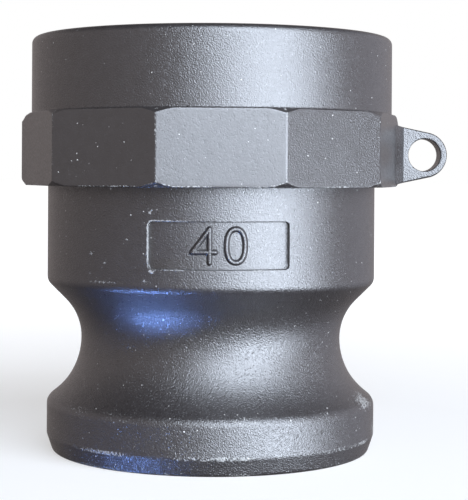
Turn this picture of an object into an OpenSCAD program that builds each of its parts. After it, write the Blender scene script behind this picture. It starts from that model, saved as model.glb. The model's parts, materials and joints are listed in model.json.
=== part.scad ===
// Male half of a cam and groove hose coupling: a cam spigot below, a wrench band
// with a lanyard eye in the middle, and a socket with a female pipe thread on top.
// The real thing is one injection moulding, so the model is one solid.
// The origin is the centre of the nose end, +Z points to the thread's mouth,
// +X to the lanyard eye, and the marking pocket faces -Y.

/* [Cam spigot] */
// Outside diameter of the cam spigot and of the barrel above its groove
spigot_d = 53.3; // [52:0.1:55]
// Diameter of the cam groove at its throat
throat_d = 42.2; // [41.5:0.1:43.5]
// Radius of the groove's rounded floor above the throat
groove_r = 9; // [8:0.1:10]
// Slope of the groove's upper flank, measured from the axis
flank_angle = 45; // [42:1:52]
// Radius of the groove's rounded floor below the throat, on the nose side
nose_groove_r = 11.2; // [9:0.1:11.4]
// Slope of the groove's lower flank, measured from the axis
nose_flank_angle = 51; // [46:1:54]
// Height of the throat above the nose end
groove_z = 18.1; // [17.5:0.1:19]
// Rounding of the lips where the flanks meet the spigot
lip_r = 1.8; // [0.5:0.1:2.2]
// Height of the lead-in cone on the nose
lead_h = 2.8; // [1.5:0.1:3]
// Radial width of the lead-in cone
lead_w = 0.95; // [0.5:0.05:1.5]
// Rounding between the lead-in cone and the land above it
lead_r = 1.5; // [0.5:0.1:2.5]
// Rounding of the outer edge of the nose end
nose_r = 0.7; // [0.3:0.1:1]

/* [Wrench band] */
// Height of the band's lower face above the nose end
band_z = 42.75; // [41:0.05:46]
// Height of the band
band_h = 11.65; // [11.2:0.05:14]
// Number of flats
flats = 10; // [8:1:12]
// How far the middle of each flat stands proud of the collar
flat_proud = 0.13; // [0.05:0.01:1]
// Chamfer that turns the band's corners away at top and bottom
band_chamfer = 0.75; // [0.3:0.05:1.2]

/* [Threaded collar] */
// Outside diameter of the collar
collar_d = 58.7; // [56:0.1:62]
// Height of the collar above the band
collar_h = 12.35; // [11:0.05:16]
// Rounding of the collar's outer top edge
rim_r = 1.4; // [0.5:0.1:2]
// Crest diameter of the female pipe thread
thread_d = 44.85; // [44:0.05:46]
// Pitch of the thread
thread_pitch = 2.309; // [2.1:0.001:2.5]
// Angle between the thread's flanks
thread_angle = 55; // [55, 60]
// Plain bore between the seat and the first turn of the thread
thread_start = 1.2; // [0.5:0.1:3]
// Depth of the socket from the rim to its seat
socket_depth = 21.5; // [19:0.5:23]
// Radial depth of the countersink at the mouth
mouth_w = 1.7; // [1:0.1:2.2]

/* [Waterway] */
// Diameter of the straight bore through the cam spigot
bore_d = 36; // [33:0.5:37]
// Height of the straight bore above the nose end
bore_h = 26; // [23:0.5:32]
// Radial width of the seat at the foot of the socket
seat_w = 1.6; // [0.8:0.1:2]
// Height of the straight land below the seat
seat_land = 2; // [1:0.5:4]
// Chamfer on the bore's edge at the nose end
bore_chamfer = 0.5; // [0.2:0.1:1]

/* [Marking pocket] */
// Width of the pocket across the barrel
pocket_w = 21.1; // [16:0.1:24]
// Height of the pocket
pocket_h = 7.2; // [5:0.1:8]
// Height of the pocket's lower edge above the groove's upper lip
pocket_rise = 3.2; // [2.5:0.1:4.5]
// Corner radius of the pocket
pocket_r = 0.8; // [0.3:0.1:2]
// Depth of the pocket's floor below the barrel
pocket_depth = 0.6; // [0.3:0.05:1]

/* [Lanyard eye] */
// Diameter of the hole
eye_d = 5.3; // [4:0.1:6]
// Thickness of the ring of plastic round the hole
eye_wall = 1.1; // [1:0.05:2]
// Distance of the hole's axis beyond the band's corner
eye_out = 3.9; // [3.8:0.1:6]
// Height of the hole's axis above the band's lower face
eye_rise = 5.25; // [4.8:0.05:6.5]
// Thickness of the eye's plate
eye_t = 3.8; // [3:0.1:5]
// Slope of the plate's upper and lower edges
eye_taper = 12; // [4:1:13]
// How far the flared root runs out past the band's corner
flare_out = 0.45; // [0.2:0.05:0.8]

/* [Hidden] */
$fn = 128;
// Overshoot of every cut past the face that it opens
over = 1;
// A round edge meets a straight one at this small angle, so no sliver is left between
meet = 4;
spigot_r = spigot_d / 2;
throat_r = throat_d / 2;
collar_r = collar_d / 2;
thread_r = thread_d / 2;
bore_r = bore_d / 2;
// Levels, counted up from the nose end
band_top = band_z + band_h;
total_h = band_top + collar_h;
seat_z = total_h - socket_depth;
// Groove: radius of its floor, where each flank leaves it, and the lip that it runs to
upper_r = min(groove_r, room_r(flank_angle));
lower_r = min(nose_groove_r, room_r(nose_flank_angle));
upper_flank = [0, groove_z] + flank_from(upper_r, flank_angle);
lower_flank = [0, groove_z] + mirrored(flank_from(lower_r, nose_flank_angle));
upper_lip = [spigot_r, groove_z + lip_rise(upper_r, flank_angle)];
lower_lip = [spigot_r, groove_z - lip_rise(lower_r, nose_flank_angle)];
// Band: radius to the middle of a flat and to a corner
flat_r = collar_r + flat_proud;
corner_r = flat_r / cos(180 / flats);
// Thread: crest and root have flats of a sixth of the pitch, as on a Whitworth thread
thread_flat = thread_pitch / 6;
thread_depth = (thread_pitch / 2 - thread_flat) / tan(thread_angle / 2);
thread_mouth = thread_pitch - thread_flat;
thread_z = seat_z + thread_start + thread_mouth / 2;
thread_end = total_h - mouth_w - thread_mouth / 2;
// Waterway below the seat
seat_bore_r = thread_r - seat_w;
// Pocket and eye, placed from the faces that carry them
pocket_z = upper_lip[1] + pocket_rise + pocket_h / 2;
eye_x = corner_r + eye_out;
eye_z = band_z + eye_rise;
eye_r = eye_d / 2 + eye_wall;
flare_x = corner_r + flare_out;
// The eye's plate starts this far inside the band's corner
root_depth = 2;
root_x = corner_r - root_depth;

function unit(v) = v / norm(v);

// The same point as far below as it is above
function mirrored(point) = [point[0], -point[1]];

// Largest radius of the groove's floor that leaves room on its flank to round the lip
function room_r(angle) =
    (spigot_r - throat_r - lip_r * (1 - cos(angle))) / (1 - cos(angle + meet));

// Point where a flank leaves the groove's floor of radius r, with the throat at height 0
function flank_from(r, angle) = [
    throat_r + r - r * cos(meet) * cos(angle),
    r * cos(meet) * sin(angle)
];

// Height of the lip above the throat
function lip_rise(r, angle) =
    flank_from(r, angle)[1] + (spigot_r - flank_from(r, angle)[0]) / tan(angle);

// The sliver between a corner and the arc that rounds it. Each corner point comes
// with a point along each of its two edges.
module corner_sliver(corner, along_a, along_b, r) {
    a = unit(along_a - corner);
    b = unit(along_b - corner);
    half = acos(a * b) / 2;
    centre = corner + unit(a + b) * r * cos(meet) / sin(half);
    reach = r * cos(meet) / tan(half);
    difference() {
        polygon([corner, corner + a * reach, centre, corner + b * reach]);
        translate(centre) circle(r = r);
    }
}

// Half of the cam groove's section, above its throat: a quarter of the round floor and
// a straight flank that runs past the spigot's outside
module groove_half(r, angle) {
    out = spigot_r + over;
    start = flank_from(r, angle);
    intersection() {
        translate([throat_r + r, 0]) circle(r = r);
        square([throat_r + r, r]);
    }
    polygon([start, [out, lip_rise(r, angle) + over / tan(angle)], [out, 0], [start[0], 0]]);
}

// The cam groove is wider on the nose side of its throat than on the barrel's side
module groove_section() {
    translate([0, groove_z]) {
        groove_half(upper_r, flank_angle);
        mirror([0, 1]) groove_half(lower_r, nose_flank_angle);
    }
}

// Half section of everything that is turned about the axis
module turned_section() {
    nose_edge = [spigot_r - lead_w, 0];
    lead_top = [spigot_r, lead_h];
    rim_edge = [collar_r, total_h];
    mid_band = band_z + band_h / 2;
    difference() {
        union() {
            polygon([[0, 0], nose_edge, lead_top, [spigot_r, mid_band], [0, mid_band]]);
            translate([0, mid_band]) square([collar_r, total_h - mid_band]);
        }
        groove_section();
        corner_sliver(nose_edge, [0, 0], lead_top, nose_r);
        corner_sliver(lead_top, nose_edge, lower_lip, lead_r);
        corner_sliver(lower_lip, lead_top, lower_flank, lip_r);
        corner_sliver(upper_lip, upper_flank, [spigot_r, mid_band], lip_r);
        corner_sliver(rim_edge, [0, total_h], [collar_r, mid_band], rim_r);
    }
}

// Band of wrench flats, one corner at +X, with its corners turned away by two cones
module wrench_band() {
    cone_r = corner_r - band_chamfer;
    wide_r = corner_r + over;
    cone_h = band_chamfer + over;
    intersection() {
        translate([0, 0, band_z]) cylinder(r = corner_r, h = band_h, $fn = flats);
        rotate_extrude() polygon([
            [0, band_z], [cone_r, band_z], [wide_r, band_z + cone_h],
            [wide_r, band_top - cone_h], [cone_r, band_top], [0, band_top]
        ]);
    }
}

// Side view of the eye's plate: straight tapered edges that run into a round end
module eye_side() {
    touch = eye_r * cos(meet) * [sin(eye_taper), cos(eye_taper)];
    root_half = touch[1] + (eye_x + touch[0] - root_x) * tan(eye_taper);
    translate([eye_x, 0]) circle(r = eye_r);
    polygon([
        [root_x, root_half], [eye_x + touch[0], touch[1]],
        [eye_x + touch[0], -touch[1]], [root_x, -root_half]
    ]);
}

// Plan of the eye's plate: parallel faces that flare at 45 degrees into the band
module eye_plan() {
    half = eye_t / 2;
    root_half = half + flare_x - root_x;
    tip_x = eye_x + eye_r + over;
    polygon([
        [root_x, -root_half], [flare_x, -half], [tip_x, -half],
        [tip_x, half], [flare_x, half], [root_x, root_half]
    ]);
}

// Eye for the lanyard or the retaining chain of a dust cap
module lanyard_eye() {
    reach = eye_t + 2 * (flare_x - root_x);
    difference() {
        intersection() {
            translate([0, 0, eye_z]) rotate([90, 0, 0]) {
                linear_extrude(reach + 2 * over, center = true) eye_side();
            }
            translate([0, 0, band_z]) linear_extrude(band_h) eye_plan();
        }
        translate([eye_x, 0, eye_z]) rotate([90, 0, 0]) {
            cylinder(d = eye_d, h = eye_t + 2 * over, center = true);
        }
    }
}

// Section of the thread's grooves. Each turn is drawn as a closed ring, so that the
// crests between them are true cylinders.
module thread_section() {
    for (z = [thread_z : thread_pitch : thread_end]) {
        translate([thread_r, z]) polygon([
            [-over, -thread_mouth / 2], [0, -thread_mouth / 2],
            [thread_depth, -thread_flat / 2], [thread_depth, thread_flat / 2],
            [0, thread_mouth / 2], [-over, thread_mouth / 2]
        ]);
    }
}

// Everything that is open inside: the straight bore, the cone above it, the seat,
// the thread's crest, the countersunk mouth and the thread
module waterway() {
    rotate_extrude() thread_section();
    rotate_extrude() polygon([
        [0, -over],
        [bore_r + bore_chamfer + over, -over],
        [bore_r, bore_chamfer],
        [bore_r, bore_h],
        [seat_bore_r, seat_z - seat_land],
        [seat_bore_r, seat_z],
        [thread_r, seat_z],
        [thread_r, total_h - mouth_w],
        [thread_r + mouth_w + over, total_h + over],
        [0, total_h + over]
    ]);
}

module rounded_rectangle(w, h, r) {
    square([w - 2 * r, h], center = true);
    square([w, h - 2 * r], center = true);
    for (x = [-1, 1], y = [-1, 1]) {
        translate([x * (w / 2 - r), y * (h / 2 - r)]) circle(r = r);
    }
}

// Shallow pocket for a marking: straight walls along the mould's opening direction
// and a floor that follows the barrel
module marking_pocket() {
    difference() {
        translate([0, 0, pocket_z]) rotate([90, 0, 0]) {
            linear_extrude(spigot_r + over) rounded_rectangle(pocket_w, pocket_h, pocket_r);
        }
        cylinder(r = spigot_r - pocket_depth, h = band_z);
    }
}

module adapter_body() {
    color("#47484b") difference() {
        union() {
            rotate_extrude() turned_section();
            wrench_band();
            lanyard_eye();
        }
        waterway();
        marking_pocket();
    }
}

adapter_body();
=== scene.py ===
# Looks of a male cam and groove adapter, moulded in black glass-filled polypropylene.
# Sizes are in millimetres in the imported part's own frame, and MM turns them to metres.
# The nose stands on the floor, +Z points to the thread's mouth, +X to the lanyard eye
# and the marking pocket faces -Y.
import json
import math
from collections import namedtuple

import bpy
import numpy as np
from mathutils import Euler, Matrix, Vector


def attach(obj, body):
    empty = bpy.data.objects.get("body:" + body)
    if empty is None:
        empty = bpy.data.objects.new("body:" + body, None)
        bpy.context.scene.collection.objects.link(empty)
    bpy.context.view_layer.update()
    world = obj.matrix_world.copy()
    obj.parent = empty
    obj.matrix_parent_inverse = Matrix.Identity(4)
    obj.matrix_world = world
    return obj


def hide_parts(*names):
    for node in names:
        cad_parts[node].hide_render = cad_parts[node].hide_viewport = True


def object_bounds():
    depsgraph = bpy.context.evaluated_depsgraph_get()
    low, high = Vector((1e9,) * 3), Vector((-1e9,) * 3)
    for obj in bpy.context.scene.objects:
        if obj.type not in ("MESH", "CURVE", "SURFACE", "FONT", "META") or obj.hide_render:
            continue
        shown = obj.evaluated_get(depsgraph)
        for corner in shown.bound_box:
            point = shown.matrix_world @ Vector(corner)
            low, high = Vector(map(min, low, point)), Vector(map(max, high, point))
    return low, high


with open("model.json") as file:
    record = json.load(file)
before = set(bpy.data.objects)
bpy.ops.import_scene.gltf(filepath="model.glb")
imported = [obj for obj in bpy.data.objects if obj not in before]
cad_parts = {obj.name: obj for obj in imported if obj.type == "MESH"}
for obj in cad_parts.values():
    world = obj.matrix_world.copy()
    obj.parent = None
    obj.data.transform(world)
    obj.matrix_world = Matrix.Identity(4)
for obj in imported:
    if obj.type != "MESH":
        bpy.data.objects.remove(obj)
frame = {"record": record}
cad_low, cad_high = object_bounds()
MOUNTS = {mount["name"]: mount for mount in frame["record"]["mounts"]}
MM = 0.001

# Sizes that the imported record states
SPIGOT_R = MOUNTS["cam_spigot"]["dims"]["r_mm"]
BORE_R = MOUNTS["flow_bore"]["dims"]["r_mm"]
CREST_R = MOUNTS["pipe_thread"]["dims"]["r_mm"]
EYE_HOLE_R = MOUNTS["lanyard_eye"]["dims"]["r_mm"]
EYE_T = MOUNTS["lanyard_eye"]["dims"]["length_mm"]
EYE_X = MOUNTS["lanyard_eye"]["pos_m"][0] / MM
EYE_Z = MOUNTS["lanyard_eye"]["pos_m"][2] / MM
TOTAL_H = cad_high.z / MM
EYE_R = cad_high.x / MM - EYE_X

# Cam spigot
THROAT_R = 21.1
GROOVE_Z = 18.1
GROOVE_R = 9.0
FLANK_ANGLE = math.radians(45)
NOSE_GROOVE_R = 11.2
NOSE_FLANK_ANGLE = math.radians(51)
LIP_R = 1.8
LEAD_H = 2.8
LEAD_W = 0.95
LEAD_R = 1.5
NOSE_R = 0.7

# Wrench band of ten flats, one corner at +X. Its chamfers are cut by a cone, and along
# the middle of each flat its edges are only broken.
BAND_Z = 42.75
BAND_TOP = 54.4
FLATS = 10
FLAT_DEGREES = 360 / FLATS
FLAT_R = 29.48
BAND_CHAMFER = 0.75
CORNER_R = FLAT_R / math.cos(math.pi / FLATS)
CONE_R = CORNER_R - BAND_CHAMFER
UPRIGHT_EDGE_R = 0.45
EDGE_BREAK = 0.07
BREAK_BLEND = 0.08
LOWER_EDGE_R = 0.14
UPPER_EDGE_R = 0.05

# The mould's parting line passes through the corners at +X and -X. Above, both are cut
# back as far as the collar, the one at +X deeper. Below, the one at -X is rounded. Each
# of these fades out over about so many degrees.
SEAM_FADE = 4
LEFT_CUT_FADE = 6.5
SEAM_CUT_IN = 0.9
SEAM_CUT_DOWN = 0.55
RIGHT_CUT_DEEPER = 2.2
SEAM_CUT_UP = 0.05
SEAM_ROUND = 1.06
# The line itself stands up by less than the thickness of a hair
SEAM_RISE = 0.03
SEAM_W = 0.08

# Threaded collar and waterway
COLLAR_R = 29.35
RIM_R = 1.1
MOUTH_R = 24.125
THREAD_PITCH = 2.309
THREAD_FLAT = THREAD_PITCH / 6
THREAD_SLOPE = math.tan(math.radians(55 / 2))
THREAD_DEPTH = (THREAD_PITCH / 2 - THREAD_FLAT) / THREAD_SLOPE
THREAD_ROOT_R = CREST_R + THREAD_DEPTH
SEAT_Z = TOTAL_H - 21.5
THREAD_Z = SEAT_Z + 1.2
THREAD_TOP = TOTAL_H - 1.9
SEAT_BORE_R = 20.825
SEAT_LAND = 2.0
BORE_H = 26.0
BORE_CHAMFER = 0.5

# Marking pocket
POCKET_W = 21.1
POCKET_H = 7.2
POCKET_Z = 34.147
POCKET_R = 0.8
POCKET_DEPTH = 0.6
POCKET_WALL = 0.16
POCKET_SILL = 0.07
POCKET_FLOOR_R = SPIGOT_R - POCKET_DEPTH

# Raised size numerals
NUMERAL_H = 5.9
NUMERAL_STROKE = 0.95
NUMERAL_RISE = 0.45
NUMERAL_GRID = 0.055

# Lanyard eye
EYE_TAPER = math.radians(12)
EYE_ROOT_X = CORNER_R - 2.0
FLARE_X = CORNER_R + 0.45
EYE_EDGE_R = 0.35
HOLE_EDGE_R = 0.2

# How worn the upright corners and the pocket's outline are, the latter more at its left,
# and how far wear reaches from an edge
CORNER_WEAR = 0.8
CORNER_WEAR_W = 0.4
POCKET_WEAR = 0.85
POCKET_LEFT_WEAR = 1.1
POCKET_WEAR_W = 0.22
WEAR_W = 0.25

# Places that use has rubbed: azimuth from -Y towards +X in degrees, height, half the
# width in degrees, half the height, and how worn
RUBS = [
    (68, 9.0, 12, 1.8, 1.45),
    (76, 3.6, 6, 2.0, 1.4),
    (-22, 30.2, 1.4, 0.6, 1.5),
    (-22.5, 39.4, 1.4, 0.7, 1.3),
    (-24, 28.6, 1.6, 0.8, 1.3),
    (-42, 28.4, 10, 0.4, 1.2),
    (-31, 35.0, 1.3, 0.5, 1.2),
    (-39, 31.4, 1.3, 0.6, 1.2),
    (-45.5, 32.7, 1.4, 0.5, 1.2),
    (-62, 31.3, 1.6, 0.5, 1.2),
]

# The wrench flats are smoother than the turned surfaces, the right front one by less.
# At the right of the groove the grain is deeper.
FLAT_SMOOTHED = 1.3
RIGHT_FLAT_SMOOTHED = 0.2
DEEP_GRAIN = -1.2
DEEP_GRAIN_AZIMUTH = 50
DEEP_GRAIN_Z = 15
DEEP_GRAIN_DEGREES = 16
DEEP_GRAIN_H = 5


def unit(vectors):
    return vectors / np.linalg.norm(vectors, axis=-1, keepdims=True)


def smooth_step(share):
    share = np.clip(share, 0, 1)
    return share * share * (3 - 2 * share)


def soft_max(a, b, blend):
    return (a + b + np.sqrt((a - b) ** 2 + blend**2)) / 2


def near(distance, width):
    """1 at no distance, falling smoothly to nothing over about twice the width."""
    return np.exp(-((distance / width) ** 2))


# Sections that are turned about an axis


# A radius, height or fillet may differ from column to column round the axis. The fillet's
# arc and the run to the next corner are cut into steps.
Corner = namedtuple("Corner", "r z fillet arc_steps run_steps wear")


def fillet_rows(before, corner, after, radius, steps):
    """Rows of points that round one corner of the section with a true arc."""
    back = unit(before - corner)
    ahead = unit(after - corner)
    half = np.arccos(np.clip((back * ahead).sum(-1), -1, 1)) / 2
    sweep = math.pi - 2 * half
    centre = corner + unit(back + ahead) * (radius / np.sin(half))[:, None]
    reach = (radius / np.tan(half))[:, None]
    start = corner + back * reach - centre
    end = corner + ahead * reach - centre
    rows = []
    for share in np.linspace(0, 1, steps + 1):
        from_start = (np.sin((1 - share) * sweep) / np.sin(sweep))[:, None]
        from_end = (np.sin(share * sweep) / np.sin(sweep))[:, None]
        rows.append(centre + start * from_start + end * from_end)
    return rows


def section_rows(corners, columns):
    """Closed section as rows of (radius, height), one per column, and the wear of each."""
    corners = [Corner(*corner) for corner in corners]
    all_round = np.ones(columns)
    points = [np.stack([c.r * all_round, c.z * all_round], axis=-1) for c in corners]
    arcs = []
    for i, corner in enumerate(corners):
        if corner.arc_steps:
            before, here, after = points[i - 1], points[i], points[(i + 1) % len(points)]
            fillet = corner.fillet * all_round
            arcs.append(fillet_rows(before, here, after, fillet, corner.arc_steps))
        else:
            arcs.append([points[i]])
    rows = []
    wears = []
    for i, corner in enumerate(corners):
        following = (i + 1) % len(corners)
        start = arcs[i][-1]
        end = arcs[following][0]
        rows += arcs[i]
        wears += [corner.wear * all_round] * len(arcs[i])
        for k in range(1, corner.run_steps):
            share = (1 - math.cos(math.pi * k / corner.run_steps)) / 2
            point = start + (end - start) * share
            rows.append(point)
            left = corner.wear * near(np.linalg.norm(point - start, axis=-1), WEAR_W)
            right = corners[following].wear * near(np.linalg.norm(point - end, axis=-1), WEAR_W)
            wears.append(np.maximum(left, right))
    return np.stack(rows), np.stack(wears)


# Meshes


def grid_faces(rows, columns, closed_rows=True):
    """Quads between neighbouring rows and columns; the columns always close on themselves."""
    row = np.arange(rows if closed_rows else rows - 1)
    column = np.arange(columns)
    a, b = np.meshgrid(row, column, indexing="ij")
    up = (a + 1) % rows
    on = (b + 1) % columns
    corners = [a * columns + b, a * columns + on, up * columns + on, up * columns + b]
    return np.stack(corners, axis=-1).reshape(-1, 4)


def capped_faces(rows, columns):
    """Tube of quads whose two end rings, of an even number of columns, are filled in."""
    faces = grid_faces(rows, columns, closed_rows=False).tolist()
    for ring in (0, rows - 1):
        first = ring * columns
        last = first + columns - 1
        for k in range(columns // 2 - 1):
            cap = [first + k, first + k + 1, last - k - 1, last - k]
            faces.append(cap if ring else cap[::-1])
    return faces


def enclosed_volume(points, faces):
    """Six times the volume, and below zero where the faces look inwards."""
    p = points[faces]
    first = np.einsum("ij,ij->i", p[:, 0], np.cross(p[:, 1], p[:, 2])).sum()
    second = np.einsum("ij,ij->i", p[:, 0], np.cross(p[:, 2], p[:, 3])).sum()
    return first + second


def make_piece(name, points, faces, material, **layers):
    """Closed mesh of quads from points in millimetres, facing outwards, riding on the body.
    Each layer is a number per point that the material reads by name."""
    points = np.asarray(points, float).reshape(-1, 3)
    faces = np.asarray(faces)
    if enclosed_volume(points, faces) < 0:
        faces = faces[:, ::-1]
    mesh = bpy.data.meshes.new(name)
    mesh.from_pydata((points * MM).tolist(), [], faces.tolist())
    mesh.polygons.foreach_set("use_smooth", [True] * len(faces))
    mesh.materials.append(material)
    for layer_name, values in layers.items():
        layer = mesh.attributes.new(layer_name, "FLOAT", "POINT")
        layer.data.foreach_set("value", np.asarray(values, float).ravel())
    mesh.validate()
    piece = bpy.data.objects.new(name, mesh)
    bpy.context.scene.collection.objects.link(piece)
    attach(piece, "root")
    return piece


# Body


def band_radius(theta):
    """Distance from the axis to the flats, with the upright corners between them rounded."""
    step = 2 * math.pi / FLATS
    from_corner = np.abs((theta + step / 2) % step - step / 2)
    centre = (FLAT_R - UPRIGHT_EDGE_R) / math.cos(step / 2)
    rounded = from_corner < math.atan2(
        UPRIGHT_EDGE_R * math.sin(step / 2), centre + UPRIGHT_EDGE_R * math.cos(step / 2)
    )
    room = np.maximum(UPRIGHT_EDGE_R**2 - (centre * np.sin(from_corner)) ** 2, 0)
    arc = centre * np.cos(from_corner) + np.sqrt(room)
    return np.where(rounded, arc, FLAT_R / np.cos(step / 2 - from_corner))


def body_columns():
    """Angles of the columns, which stand closer at the corners, the pocket and the seam."""
    angles = [np.arange(0, 360, 1.8)]
    beside = np.array([0.2, 0.4, 0.6, 0.85, 1.2, 1.7, 2.4, 3.2, 4.2, 5.2, 6.2])
    for corner in np.arange(FLATS) * FLAT_DEGREES:
        angles += [corner - beside, [corner], corner + beside]
    # The pocket's side walls stand 23.3 degrees to each side of -Y
    for wall in (np.arange(21.0, 22.7, 0.2), np.arange(22.7, 23.7, 0.085)):
        angles += [270 - wall, 270 + wall]
    for seam in (0, 180):
        angles.append(seam + np.array([-0.1, 0.1]))
    merged = np.unique(np.round(np.concatenate(angles) % 360, 3))
    closest = 0.07
    keep = [merged[0]]
    for angle in merged[1:]:
        if angle - keep[-1] > closest:
            keep.append(angle)
    return np.radians(keep)


def turn_from(theta, middle):
    """Turn from the middle to each angle in degrees, from -180 to 180."""
    return np.degrees(np.angle(np.exp(1j * (theta - middle))))


def body_corners(theta):
    """The turned section with the band's flats and chamfers worked out for each column."""
    seam_left = near(turn_from(theta, math.pi), SEAM_FADE)
    seam_right = near(turn_from(theta, 0), SEAM_FADE)
    cut_left = near(turn_from(theta, math.pi), LEFT_CUT_FADE)
    edge = band_radius(theta)
    chamfer = soft_max(edge - CONE_R, EDGE_BREAK, BREAK_BLEND)
    lower = chamfer + SEAM_CUT_UP * seam_left
    upper_in = chamfer + SEAM_CUT_IN * (cut_left + seam_right)
    upper_down = chamfer + SEAM_CUT_DOWN * (cut_left + RIGHT_CUT_DEEPER * seam_right)
    lower_fillet = LOWER_EDGE_R + SEAM_ROUND * seam_left
    upper_fillet = UPPER_EDGE_R + 0.3 * chamfer * smooth_step(chamfer / 0.4)
    # The groove's floor is two arcs, which touch the throat's upright line at GROOVE_Z
    depth = SPIGOT_R - THROAT_R
    arc_low = GROOVE_Z - NOSE_GROOVE_R * math.tan(NOSE_FLANK_ANGLE / 2)
    arc_high = GROOVE_Z + GROOVE_R * math.tan(FLANK_ANGLE / 2)
    lower_lip = arc_low - depth / math.tan(NOSE_FLANK_ANGLE)
    upper_lip = arc_high + depth / math.tan(FLANK_ANGLE)
    # Just under their true radius, the two arcs don't run into each other
    shy = 0.995
    # Rows of points close to the pocket's sills, inside and outside
    pocket_low = POCKET_Z - POCKET_H / 2
    pocket_high = POCKET_Z + POCKET_H / 2
    sliver = 0.01
    margin = 0.12
    return [
        (BORE_R + BORE_CHAMFER, 0, 0.15, 2, 4, 0.3),
        (SPIGOT_R - LEAD_W, 0, NOSE_R, 5, 5, 0.7),
        (SPIGOT_R, LEAD_H, LEAD_R, 5, 7, 0.8),
        (SPIGOT_R, lower_lip, LIP_R, 8, 5, 0.6),
        (THROAT_R, arc_low, NOSE_GROOVE_R * shy, 12, 1, 0),
        (THROAT_R, arc_high, GROOVE_R * shy, 11, 5, 0),
        (SPIGOT_R, upper_lip, LIP_R, 8, 5, 0.4),
        (SPIGOT_R, pocket_low - margin, 0, 0, 3, 0),
        (SPIGOT_R, pocket_low - sliver, 0, 0, 5, 0),
        (SPIGOT_R, pocket_low + POCKET_WALL, 0, 0, 14, 0),
        (SPIGOT_R, pocket_high - POCKET_WALL, 0, 0, 5, 0),
        (SPIGOT_R, pocket_high + sliver, 0, 0, 3, 0),
        (SPIGOT_R, pocket_high + margin, 0, 0, 6, 0),
        (SPIGOT_R, BAND_Z, 0.1, 2, 3, 0),
        (edge - lower, BAND_Z, lower_fillet, 3, 2, 0.8),
        (edge, BAND_Z + lower, lower_fillet, 3, 9, 0.9),
        (edge, BAND_TOP - upper_down, upper_fillet, 3, 2, 0.5),
        (edge - upper_in, BAND_TOP, 0.05, 2, 1, 0.3),
        (COLLAR_R, BAND_TOP, 0, 0, 9, 0),
        (COLLAR_R, TOTAL_H, RIM_R, 7, 4, 0.3),
        (MOUTH_R, TOTAL_H, 0.1, 2, 1, 0.3),
        (THREAD_ROOT_R, TOTAL_H - MOUTH_R + THREAD_ROOT_R, 0.1, 1, 8, 0),
        (THREAD_ROOT_R, THREAD_Z + THREAD_DEPTH * THREAD_SLOPE, 0.1, 1, 2, 0),
        (CREST_R, THREAD_Z, 0.08, 1, 2, 0),
        (CREST_R, SEAT_Z, 0.3, 2, 2, 0),
        (SEAT_BORE_R, SEAT_Z, 0.3, 3, 2, 0.2),
        (SEAT_BORE_R, SEAT_Z - SEAT_LAND, 1, 2, 4, 0),
        (BORE_R, BORE_H, 3, 3, 6, 0),
        (BORE_R, BORE_CHAMFER, 0.1, 1, 1, 0.2),
    ]


def gap_round(theta, step, radius):
    """Distance round the axis, at that radius, to the nearest multiple of the step."""
    aside = (np.degrees(theta) + step / 2) % step - step / 2
    return np.abs(aside) * math.radians(1) * radius


def pocket_distance(x, z):
    """Signed distance to the pocket's outline, seen square on: negative inside it."""
    across = np.abs(x) - (POCKET_W / 2 - POCKET_R)
    along = np.abs(z - POCKET_Z) - (POCKET_H / 2 - POCKET_R)
    corner = np.hypot(np.maximum(across, 0), np.maximum(along, 0))
    return corner + np.minimum(np.maximum(across, along), 0) - POCKET_R


def sink_pocket(x, y, z, distance):
    """Y of each point once the pocket is in. Its walls run along Y, the way its mould half
    opens."""
    upright = np.abs(z - POCKET_Z) < POCKET_H / 2 - POCKET_R
    wall = np.where(upright, POCKET_WALL, POCKET_SILL)
    floor_y = -np.sqrt(np.maximum(POCKET_FLOOR_R**2 - x**2, 0))
    return y + (floor_y - y) * smooth_step(-distance / wall)


def rubbed_wear(azimuths, r, z):
    """How worn each point is by the rubbed places alone."""
    wear = np.zeros(r.shape)
    for azimuth, height, half_width, half_height, rubbed in RUBS:
        spot = near(azimuths - azimuth, half_width) * near(z - height, half_height)
        wear = np.maximum(wear, rubbed * spot * (r > THROAT_R))
    return wear


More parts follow.
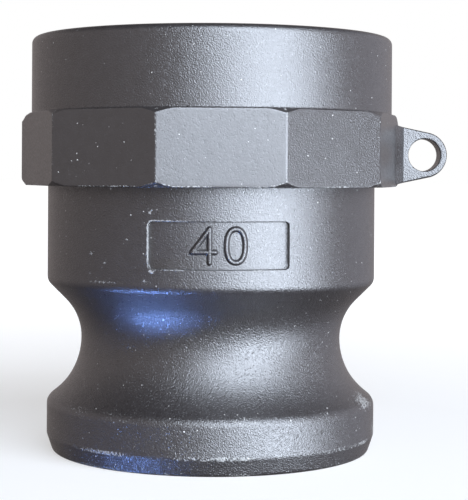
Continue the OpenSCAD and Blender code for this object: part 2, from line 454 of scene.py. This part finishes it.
def make_body(material):
    theta = body_columns()
    azimuths = (np.degrees(theta) + 270) % 360 - 180
    section, wear = section_rows(body_corners(theta), len(theta))
    r = section[..., 0]
    z = section[..., 1]
    x = r * np.cos(theta)
    y = r * np.sin(theta)
    touching = 0.01
    end_gap = 0.1
    outside = (r > np.where(z < BAND_Z, THROAT_R, SPIGOT_R) - touching) & (z > end_gap)
    on_band = (z > BAND_Z) & (z < BAND_TOP) & (r > COLLAR_R)
    on_barrel = (np.abs(r - SPIGOT_R) < touching) & (y < 0) & (z > GROOVE_Z) & (z < BAND_Z)

    seam = SEAM_RISE * near(gap_round(theta, 180, SPIGOT_R), SEAM_W) * outside
    x = x + seam * (z < TOTAL_H - end_gap) * np.cos(theta)
    distance = pocket_distance(x, z)
    y = np.where(on_barrel, sink_pocket(x, y, z, distance), y)

    corner_gap = gap_round(theta, FLAT_DEGREES, CORNER_R)
    wear = np.maximum(wear, CORNER_WEAR * near(corner_gap, CORNER_WEAR_W) * on_band)
    wear = np.maximum(wear, rubbed_wear(azimuths, r, z))
    outline = np.where(x < -POCKET_W / 4, POCKET_LEFT_WEAR, POCKET_WEAR)
    outline = outline * near(distance - 0.02, POCKET_WEAR_W)
    wear = np.maximum(wear, outline * on_barrel)

    right_flat = np.abs(azimuths - FLAT_DEGREES) < FLAT_DEGREES / 2
    smoothed = on_band * np.where(right_flat, RIGHT_FLAT_SMOOTHED, FLAT_SMOOTHED)
    deep = near(azimuths - DEEP_GRAIN_AZIMUTH, DEEP_GRAIN_DEGREES)
    deep = deep * near(z - DEEP_GRAIN_Z, DEEP_GRAIN_H)
    smoothed = smoothed + DEEP_GRAIN * deep * outside

    points = np.stack([x, y, z], axis=-1)
    layers = {"edge_wear": wear, "smoothed": smoothed}
    body = make_piece("adapter_skin", points, grid_faces(*x.shape), material, **layers)
    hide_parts("adapter_body")


# Thread


def make_thread(material):
    """The thread's ridge. It leaves the plain bore above the seat and winds up to the mouth."""
    sunk_r = THREAD_ROOT_R + 0.15
    broken = 0.07
    half = [
        (sunk_r, THREAD_FLAT / 2 + (sunk_r - CREST_R) * THREAD_SLOPE),
        (CREST_R + broken, THREAD_FLAT / 2 + broken * THREAD_SLOPE),
        (CREST_R, THREAD_FLAT / 2 - broken),
    ]
    section = np.array(half + [(r, -width) for r, width in reversed(half)])
    low = THREAD_Z - THREAD_FLAT / 2
    turns = (THREAD_TOP - low) / THREAD_PITCH
    turn_steps = 120
    angle = np.linspace(0, turns * 2 * math.pi, int(turns * turn_steps))
    # Over the last quarter turn the ridge runs out to almost nothing
    run_out = math.pi / 2
    least = 0.02
    grown = least + (1 - least) * smooth_step((angle[-1] - angle) / run_out)
    r = sunk_r + (section[:, 0] - sunk_r)[None, :] * grown[:, None]
    z = (low + angle / (2 * math.pi) * THREAD_PITCH)[:, None] + section[:, 1] * grown[:, None]
    points = np.stack([r * np.cos(angle)[:, None], r * np.sin(angle)[:, None], z], axis=-1)
    make_piece("thread_ridge", points, capped_faces(*r.shape), material)


# Lanyard eye


def eye_reach(angle):
    """Distance from the hole's axis to the plate's outline: round end, tapered sides, root."""
    turned = np.abs(np.angle(np.exp(1j * angle)))
    past_round = turned - (math.pi / 2 - EYE_TAPER)
    side = EYE_R / np.cos(np.clip(past_round, 0, math.radians(80)))
    root = (EYE_X - EYE_ROOT_X) / np.maximum(-np.cos(turned), 1e-3)
    return np.minimum(side, root)


def make_eye(material):
    """The pierced plate, a section turned about the hole's axis, with its root sunk in."""
    angle = np.radians(np.arange(0, 360, 2.5))
    reach = eye_reach(angle)
    half = EYE_T / 2
    corners = [
        (EYE_HOLE_R, -half, HOLE_EDGE_R, 4, 5, 0.4),
        (reach, -half, EYE_EDGE_R, 5, 4, 0.5),
        (reach, half, EYE_EDGE_R, 5, 5, 0.5),
        (EYE_HOLE_R, half, HOLE_EDGE_R, 4, 4, 0.4),
    ]
    section, wear = section_rows(corners, len(angle))
    out = section[..., 0]
    points = np.stack(
        [EYE_X + out * np.cos(angle), section[..., 1], EYE_Z + out * np.sin(angle)], axis=-1
    )
    make_piece("lanyard_eye", points, grid_faces(*out.shape), material, edge_wear=wear)


def make_flare(material):
    """The plate's root, which flares at 45 degrees until it meets the band's flats."""
    x = np.linspace(FLARE_X, EYE_ROOT_X, 6)
    half_y = EYE_T / 2 + FLARE_X - x
    half_z = (EYE_R + (EYE_X - x) * math.sin(EYE_TAPER)) / math.cos(EYE_TAPER)
    turn_step = 15
    turns = np.radians(np.arange(0, 360, turn_step) + turn_step / 2)
    corner_y = (half_y - EYE_EDGE_R)[:, None] * np.sign(np.cos(turns))
    corner_z = (half_z - EYE_EDGE_R)[:, None] * np.sign(np.sin(turns))
    y = corner_y + EYE_EDGE_R * np.cos(turns)
    z = corner_z + EYE_EDGE_R * np.sin(turns) + EYE_Z
    points = np.stack([np.broadcast_to(x[:, None], y.shape), y, z], axis=-1)
    make_piece("eye_root", points, capped_faces(*y.shape), material)


# Size numerals


def distance_to_line(x, z, line):
    """Distance from each point to the nearest place on a line of straight pieces."""
    best = np.full(x.shape, np.inf)
    for (ax, az), (bx, bz) in zip(line[:-1], line[1:]):
        length = math.hypot(bx - ax, bz - az)
        along = ((x - ax) * (bx - ax) + (z - az) * (bz - az)) / length**2
        along = np.clip(along, 0, 1)
        gap = np.hypot(x - ax - along * (bx - ax), z - az - along * (bz - az))
        best = np.minimum(best, gap)
    return best


def numeral_lines():
    """Centre lines of a plain 4 and 0, in millimetres from the pocket's middle."""
    top = (NUMERAL_H - NUMERAL_STROKE) / 2
    four_x = -2.35
    stem_x = four_x + 0.9
    bar_z = -0.95
    stem = [(stem_x, top), (stem_x, -top)]
    arm = [(stem_x, top), (four_x - 1.65, bar_z), (four_x + 1.75, bar_z)]
    zero_x = 2.45
    zero_half = 1.38
    squareness = 0.86
    turn = np.radians(np.arange(0, 361, 6))
    bow = np.sign(np.cos(turn)) * np.abs(np.cos(turn)) ** squareness
    rise = np.sign(np.sin(turn)) * np.abs(np.sin(turn)) ** squareness
    ring = list(zip(zero_x + zero_half * bow, top * rise))
    return [stem, arm, ring]


def make_numerals(material):
    """Raised strokes on the pocket's floor, with sloping flanks and rounded tops."""
    half_w = 4.9
    half_h = NUMERAL_H / 2 + 0.35
    top_half = 0.13
    foot_half = NUMERAL_STROKE / 2 + 0.03
    sunk = 0.05
    base_depth = 0.3
    xs = np.arange(-half_w, half_w, NUMERAL_GRID)
    zs = np.arange(-half_h, half_h, NUMERAL_GRID)
    x, z = np.meshgrid(xs, zs, indexing="ij")
    gap = np.min([distance_to_line(x, z, line) for line in numeral_lines()], axis=0)
    share = np.clip((foot_half - gap) / (foot_half - top_half), 0, 1)
    share = 0.6 * share + 0.4 * smooth_step(share)
    rise = (NUMERAL_RISE + sunk) * share - sunk
    top_y = -np.sqrt((POCKET_FLOOR_R + rise) ** 2 - x**2)
    base_y = -np.sqrt((POCKET_FLOOR_R - base_depth) ** 2 - x**2)
    # Only the grid's cells under the strokes are kept, and their corners are numbered
    kept = gap < foot_half + NUMERAL_GRID
    cell = kept[:-1, :-1] & kept[1:, :-1] & kept[1:, 1:] & kept[:-1, 1:]
    used = np.zeros(x.shape, bool)
    for shift_x in (0, 1):
        for shift_z in (0, 1):
            used[shift_x : shift_x + cell.shape[0], shift_z : shift_z + cell.shape[1]] |= cell
    count = int(used.sum())
    index = np.zeros(x.shape, int)
    index[used] = np.arange(count)
    top = np.stack([x[used], top_y[used], z[used] + POCKET_Z], axis=-1)
    base = np.stack([x[used], base_y[used], z[used] + POCKET_Z], axis=-1)
    i, j = np.nonzero(cell)
    quads = np.stack([index[i, j], index[i + 1, j], index[i + 1, j + 1], index[i, j + 1]], axis=-1)
    faces = quads.tolist() + (quads[:, ::-1] + count).tolist()
    # An edge that only one cell uses gets a wall down to the base
    directed = set()
    for quad in quads.tolist():
        directed.update(zip(quad, quad[1:] + quad[:1]))
    for a, b in sorted(directed):
        if (b, a) not in directed:
            faces.append([b, a, a + count, b + count])
    make_piece("size_numerals", np.concatenate([top, base]), faces, material)


# Material


def hex_colour(text):
    """sRGB hex colour as linear RGBA."""
    parts = [int(text[i : i + 2], 16) / 255 for i in (1, 3, 5)]
    linear = [c / 12.92 if c <= 0.04045 else ((c + 0.055) / 1.055) ** 2.4 for c in parts]
    return (*linear, 1)


def add(tree, kind, inputs=(), **settings):
    """Adds a node, sets its properties and fills its inputs. They come by name or number, or
    in their own order. Each is a value, an output, or a node whose first output is meant."""
    node = tree.nodes.new(kind)
    for name, value in settings.items():
        setattr(node, name, value)
    for name, value in inputs.items() if isinstance(inputs, dict) else enumerate(inputs):
        if isinstance(value, bpy.types.Node):
            value = next(output for output in value.outputs if output.enabled)
        if isinstance(value, bpy.types.NodeSocket):
            tree.links.new(value, node.inputs[name])
        else:
            node.inputs[name].default_value = value
    return node


def per_mm(size):
    """Texture scale at which a pattern's features measure this many millimetres."""
    return 1 / (size * MM)


def moulded_polypropylene():
    """Glass-filled polypropylene, injection moulded in a spark-eroded mould: a dark grey
    skin with a broad satin highlight that its fine grain breaks up along its borders."""
    material = bpy.data.materials.new("moulded_glass_filled_polypropylene")
    material.use_nodes = True
    tree = material.node_tree
    tree.nodes.clear()
    place = add(tree, "ShaderNodeTexCoord").outputs["Object"]

    # Patterns, each with the size of its features in millimetres, detail and roughness.
    # The grain is the mould's spark texture, drawn somewhat coarser than it is so that it
    # shows. The mottle and the sway are flow and shrinkage of the melt.
    patterns = {
        "grain": (0.2, 1.0, 0.5),
        "polish": (0.3, 1.0, 0.5),
        "pits": (0.26, 1.0, 0.5),
        "mottle": (1.4, 2.0, 0.5),
        "sway": (9.0, 2.0, 0.5),
        "runs": (7.0, 1.0, 0.5),
        "flecks": (0.34, 3.0, 0.7),
    }
    noise = {}
    for name, (size, detail, rough) in patterns.items():
        inputs = {"Vector": place, "Scale": per_mm(size), "Detail": detail, "Roughness": rough}
        noise[name] = add(tree, "ShaderNodeTexNoise", inputs)
    # Pits of the spark texture that are steep enough to glint beside a highlight
    pits = add(tree, "ShaderNodeMapRange", [noise["pits"], 0.57, 0.75])

    # Rubbed edges: pale flecks, in runs, where the mesh says that an edge is worn
    wear = add(tree, "ShaderNodeAttribute", attribute_name="edge_wear").outputs["Fac"]
    runs = add(tree, "ShaderNodeMapRange", [noise["runs"], 0.35, 0.65, 0.55, 1.1])
    flecks = add(tree, "ShaderNodeMath", [noise["flecks"], 2.2, -1.1], operation="MULTIPLY_ADD")
    worn = add(tree, "ShaderNodeMath", [wear, runs, flecks], operation="MULTIPLY_ADD")
    scuff = add(tree, "ShaderNodeMapRange", [worn, 0.78, 0.98])

    # Dust: single pale specks, a few to each square centimetre, one at most in each cell.
    # A cell's own random colour says whether it has one and how large it is.
    cell_mm = 1.0
    cell_inputs = {"Vector": place, "Scale": per_mm(cell_mm)}
    cells = add(tree, "ShaderNodeTexVoronoi", cell_inputs, feature="F1").outputs
    chance = add(tree, "ShaderNodeSeparateColor", [cells["Color"]]).outputs
    speck_r = [chance["Green"], 0, 1, 0.07 / cell_mm, 0.16 / cell_mm]
    speck_r = add(tree, "ShaderNodeMapRange", speck_r)
    from_middle = add(tree, "ShaderNodeMath", [cells["Distance"], speck_r], operation="DIVIDE")
    spot = add(tree, "ShaderNodeMapRange", [from_middle, 0.4, 1.0, 1.0, 0.0])
    present = add(tree, "ShaderNodeMapRange", [chance["Red"], 0.6, 0.88])
    speck = add(tree, "ShaderNodeMath", [spot, present], operation="MULTIPLY")

    # Each paler colour lies over those before it by its own share
    marbled = add(tree, "ShaderNodeMapRange", [noise["mottle"], 0.35, 0.65])
    peaks = add(tree, "ShaderNodeMapRange", [noise["grain"], 0.6, 0.8])
    peaks = add(tree, "ShaderNodeMath", [peaks, 0.2], operation="MULTIPLY")
    chalk = add(tree, "ShaderNodeMath", [scuff, 0.6], operation="MULTIPLY")
    paler = [(marbled, "#272424"), (peaks, "#525152"), (chalk, "#a3a29f"), (speck, "#b5b2ad")]
    skin = hex_colour("#232020")
    for share, colour in paler:
        layers = {0: share, 6: skin, 7: hex_colour(colour)}
        skin = add(tree, "ShaderNodeMix", layers, data_type="RGBA")

    smoothed = add(tree, "ShaderNodeAttribute", attribute_name="smoothed").outputs["Fac"]
    roughness = add(tree, "ShaderNodeMapRange", [noise["polish"], 0.3, 0.7, 0.27, 0.39])
    for layer, share in ((smoothed, 0.02), (scuff, 0.1), (speck, 0.35)):
        sums = [layer, share, roughness]
        roughness = add(tree, "ShaderNodeMath", sums, operation="MULTIPLY_ADD")

    # Heights in millimetres. The grain is shallower where the mesh says so, and use has
    # roughened the spigot towards its nose.
    level = add(tree, "ShaderNodeSeparateXYZ", [place]).outputs["Z"]
    relief = add(tree, "ShaderNodeMapRange", [level, 8 * MM, 14 * MM, 0.078, 0.068])
    relief = add(tree, "ShaderNodeMath", [smoothed, -0.045, relief], operation="MULTIPLY_ADD")
    pit_depth = add(tree, "ShaderNodeMapRange", [level, 20 * MM, 32 * MM, -0.034, -0.008])
    height = add(tree, "ShaderNodeMath", [noise["grain"], relief], operation="MULTIPLY")
    heights = [(pits, pit_depth), (noise["mottle"], 0.012), (noise["sway"], 0.05)]
    heights += [(scuff, 0.02), (speck, 0.03)]
    for layer, tallest in heights:
        sums = [layer, tallest, height]
        height = add(tree, "ShaderNodeMath", sums, operation="MULTIPLY_ADD")

    bump = add(tree, "ShaderNodeBump", {"Strength": 1.0, "Distance": MM, "Height": height})
    surface = {
        "Base Color": skin,
        "Roughness": roughness,
        "IOR": 1.55,
        "Specular IOR Level": 1.0,
        "Normal": bump,
    }
    shader = add(tree, "ShaderNodeBsdfPrincipled", surface)
    add(tree, "ShaderNodeOutputMaterial", {"Surface": shader})
    return material


# Stage, light and camera


def make_floor():
    """Pale floor that shows white to the camera and keeps the part's soft shadow."""
    material = bpy.data.materials.new("matt_white_paper")
    material.use_nodes = True
    tree = material.node_tree
    tree.nodes.clear()
    paper = add(tree, "ShaderNodeBsdfDiffuse", {"Color": hex_colour("#a8a8a8")})
    seen = add(tree, "ShaderNodeLightPath").outputs["Is Camera Ray"]
    # Away from the part the paper gets less light, and glows more to stay white
    place = add(tree, "ShaderNodeTexCoord").outputs["Object"]
    away = add(tree, "ShaderNodeVectorMath", [place], operation="LENGTH").outputs["Value"]
    rising = add(tree, "ShaderNodeMapRange", [away, 0.06, 0.4, 0.55, 1.0])
    strength = add(tree, "ShaderNodeMath", [seen, rising], operation="MULTIPLY")
    white = hex_colour("#ffffff")
    glow = add(tree, "ShaderNodeEmission", {"Color": white, "Strength": strength})
    both = add(tree, "ShaderNodeAddShader", [paper, glow])
    add(tree, "ShaderNodeOutputMaterial", {"Surface": both})
    reach = 6.0
    mesh = bpy.data.meshes.new("floor")
    corners = [(-reach, -reach, 0), (reach, -reach, 0), (reach, reach, 0), (-reach, reach, 0)]
    mesh.from_pydata(corners, [], [(0, 1, 2, 3)])
    mesh.materials.append(material)
    floor = bpy.data.objects.new("floor", mesh)
    bpy.context.scene.collection.objects.link(floor)
    # Two of the lights reach below the floor's level, and the floor doesn't block them
    floor.visible_glossy = False
    floor.visible_shadow = False


def make_world():
    """Soft warm grey fill, brightest level with the part and dimmer overhead and below,
    with a white background for the camera."""
    world = bpy.data.worlds.new("studio")
    bpy.context.scene.world = world
    world.use_nodes = True
    tree = world.node_tree
    tree.nodes.clear()
    seen = add(tree, "ShaderNodeLightPath").outputs["Is Camera Ray"]
    way = add(tree, "ShaderNodeTexCoord").outputs["Generated"]
    rise = add(tree, "ShaderNodeSeparateXYZ", [way]).outputs["Z"]
    smooth = {"interpolation_type": "SMOOTHSTEP"}
    below = add(tree, "ShaderNodeMapRange", [rise, -0.8, 0.2, 0.05, 0.56], **smooth)
    overhead = add(tree, "ShaderNodeMapRange", [rise, 0.3, 0.75, 1.0, 0.12], **smooth)
    fill = add(tree, "ShaderNodeMath", [below, overhead], operation="MULTIPLY")
    warm_grey = (1, 0.89, 0.88, 1)
    dim = add(tree, "ShaderNodeBackground", {"Color": warm_grey, "Strength": fill})
    white = add(tree, "ShaderNodeBackground", {"Color": hex_colour("#ffffff"), "Strength": 1.0})
    both = add(tree, "ShaderNodeMixShader", [seen, dim, white])
    add(tree, "ShaderNodeOutputWorld", {"Surface": both})


def heading(azimuth, elevation):
    """Unit vector; the azimuth counts from -Y towards +X, and both are in degrees."""
    turn = math.radians(azimuth)
    rise = math.radians(elevation)
    return Vector(
        (math.sin(turn) * math.cos(rise), -math.cos(turn) * math.cos(rise), math.sin(rise))
    )


def add_softbox(name, target, way, distance, size, radiance, colour, spread=180):
    """Rectangular light that faces the target and lies that way from it. A spread below 180
    degrees narrows its beam."""
    width, height = size
    light = bpy.data.lights.new(name, "AREA")
    light.shape = "RECTANGLE"
    light.size = width
    light.size_y = height
    # A narrow beam is brighter for its power, so its power is cut to keep the radiance
    half = math.radians(spread / 2)
    light.spread = 2 * half
    light.energy = radiance * math.pi * width * height * (1 - half / math.tan(half))
    light.color = hex_colour(colour)[:3]
    lamp = bpy.data.objects.new(name, light)
    lamp.location = target + way * distance
    lamp.rotation_euler = way.to_track_quat("Z", "Y").to_euler()
    bpy.context.scene.collection.objects.link(lamp)


def make_lights():
    """A large window, the bright table below it, a faint fill from the right side, and a
    small blue glow from below the floor's level, on the groove's upper half at the left."""
    middle = Vector((0, 0, TOTAL_H / 2 * MM))
    groove_left = heading(-24, 0) * (THROAT_R + 1) * MM + Vector((0, 0, (GROOVE_Z + 4) * MM))
    daylight = "#e3efff"
    add_softbox("window", middle, heading(25.5, 22.5), 0.9, (1.06, 0.86), 9.4, daylight)
    add_softbox("bright_table", middle, heading(45, -13), 0.9, (0.86, 0.33), 14.0, daylight)
    add_softbox("side_fill", middle, heading(118, 8), 0.9, (0.8, 1.2), 0.34, "#cfe0ff")
    below_left = heading(-70, -58)
    add_softbox(
        "blue_glow", groove_left, below_left, 0.13, (0.02, 0.02), 430.0, "#7ca4ff", spread=10
    )


def make_camera():
    """Level camera, about 250 mm from the axis and a little to the left of the pocket."""
    distance = 250
    eye_level = 44.95
    azimuth = -2.7
    roll = 0.33
    focal_px = 1522.5
    frame_w = 468
    frame_h = 500
    axis_px = 211.4
    horizon_px = 172.5
    data = bpy.data.cameras.new("camera")
    data.sensor_fit = "VERTICAL"
    data.sensor_height = 36
    data.lens = focal_px / frame_h * data.sensor_height
    data.shift_x = (frame_w / 2 - axis_px) / frame_h
    data.shift_y = (horizon_px - frame_h / 2) / frame_h
    data.clip_start = 0.01
    data.clip_end = 20
    camera = bpy.data.objects.new("camera", data)
    turn = math.radians(azimuth)
    place = Vector((math.sin(turn), -math.cos(turn), 0)) * distance * MM
    place.z = eye_level * MM
    look = Euler((math.pi / 2, 0, turn)).to_matrix().to_4x4()
    lean = Matrix.Rotation(math.radians(roll), 4, "Z")
    camera.matrix_world = Matrix.Translation(place) @ look @ lean
    bpy.context.scene.collection.objects.link(camera)
    bpy.context.scene.camera = camera


polypropylene = moulded_polypropylene()
make_body(polypropylene)
make_thread(polypropylene)
make_eye(polypropylene)
make_flare(polypropylene)
make_numerals(polypropylene)
make_floor()
make_world()
make_lights()
make_camera()
bpy.context.scene.view_settings.view_transform = "Standard"
